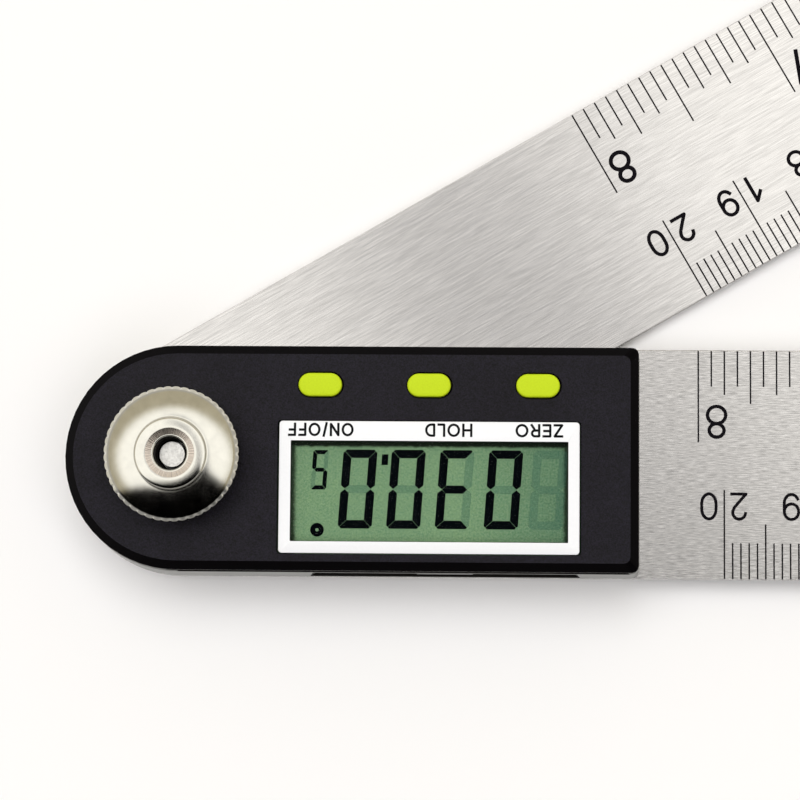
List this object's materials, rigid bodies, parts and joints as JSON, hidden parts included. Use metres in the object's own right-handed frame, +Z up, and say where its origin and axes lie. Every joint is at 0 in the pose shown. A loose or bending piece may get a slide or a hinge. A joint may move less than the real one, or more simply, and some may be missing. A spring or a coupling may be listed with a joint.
{
  "type": "digital angle finder",
  "caption": "Two graduated steel rules hinged on one pivot, with an electronic read-out housing, push buttons, lock knob and battery drawer.",
  "frame": {"origin": "on the pivot axis, in the plane of the lower rule's underside, which the tool lies on", "axes": "+Z up along the pivot axis towards the lock knob; +X from the pivot along the upper rule, which carries the housing; +Y towards the side the lower rule is swung to"},
  "size_m": [0.2798, 0.159, 0.0195],
  "materials": {
    "brushed_steel": "fine brushing along the rule",
    "turned_steel": "turned",
    "spring_steel": "bright rolled",
    "bright_nickel": "nickel plated, knurled rim",
    "silver_shell": "satin silver grey",
    "black_cover": "fine moulded grain",
    "white_bezel": "semi-gloss white",
    "clear_lens": "clear",
    "lcd_glass": "reflective grey-green",
    "lime_rubber": "satin lime green",
    "nylon": "natural",
    "brass": "bright",
    "board_green": "solder mask",
    "grey_elastomer": "matt",
    "black_epoxy": "matt",
    "grey_tray": "satin",
    "cell_steel": "bright"
  },
  "bodies": {
    "housing": {"upper_rule": "brushed_steel", "lower_shell": "silver_shell", "top_cover": "black_cover", "display_bezel": "white_bezel", "window_lens": "clear_lens", "lcd_panel": "lcd_glass", "elastomer_strip_low": "grey_elastomer", "elastomer_strip_high": "grey_elastomer", "circuit_board": "board_green", "encoder_chip": "black_epoxy", "on_off_dome": "spring_steel", "hold_dome": "spring_steel", "zero_dome": "spring_steel", "top_contact": "brass", "rim_contact": "brass", "housing_screw_1": "turned_steel", "housing_screw_2": "turned_steel", "housing_screw_3": "turned_steel", "housing_screw_4": "turned_steel", "clamp_bushing": "brass", "clamp_washer": "turned_steel"},
    "lower_arm": {"lower_rule": "brushed_steel", "pivot_foot": "turned_steel", "pivot_post": "turned_steel", "spacer_washer": "nylon", "wave_washer": "spring_steel", "retaining_clip": "spring_steel", "rotor_hub": "nylon", "encoder_rotor": "board_green"},
    "knob": {"lock_knob": "bright_nickel"},
    "on_off_key": {"on_off_button": "lime_rubber"},
    "hold_key": {"hold_button": "lime_rubber"},
    "zero_key": {"zero_button": "lime_rubber"},
    "drawer": {"battery_drawer": "grey_tray", "coin_cell": "cell_steel"}
  },
  "joints": [
    {"name": "arm_swing", "type": "hinge", "parent": "housing", "child": "lower_arm", "pos_m": [0, 0, 0], "axis": [0, 0, 1], "continuous": true},
    {"name": "knob_turn", "type": "hinge", "parent": "lower_arm", "child": "knob", "pos_m": [0, 0, 0], "axis": [0, 0, 1], "range_deg": [0, 270]},
    {"name": "on_off_press", "type": "slide", "parent": "housing", "child": "on_off_key", "axis": [0, 0, -1], "range_m": [0, 0.00045], "stiffness_N_per_m": 500, "springref_m": -0.0005},
    {"name": "hold_press", "type": "slide", "parent": "housing", "child": "hold_key", "axis": [0, 0, -1], "range_m": [0, 0.00045], "stiffness_N_per_m": 500, "springref_m": -0.0005},
    {"name": "zero_press", "type": "slide", "parent": "housing", "child": "zero_key", "axis": [0, 0, -1], "range_m": [0, 0.00045], "stiffness_N_per_m": 500, "springref_m": -0.0005},
    {"name": "drawer_slide", "type": "slide", "parent": "housing", "child": "drawer", "axis": [0, -1, 0], "range_m": [0, 0.022]}
  ]
}
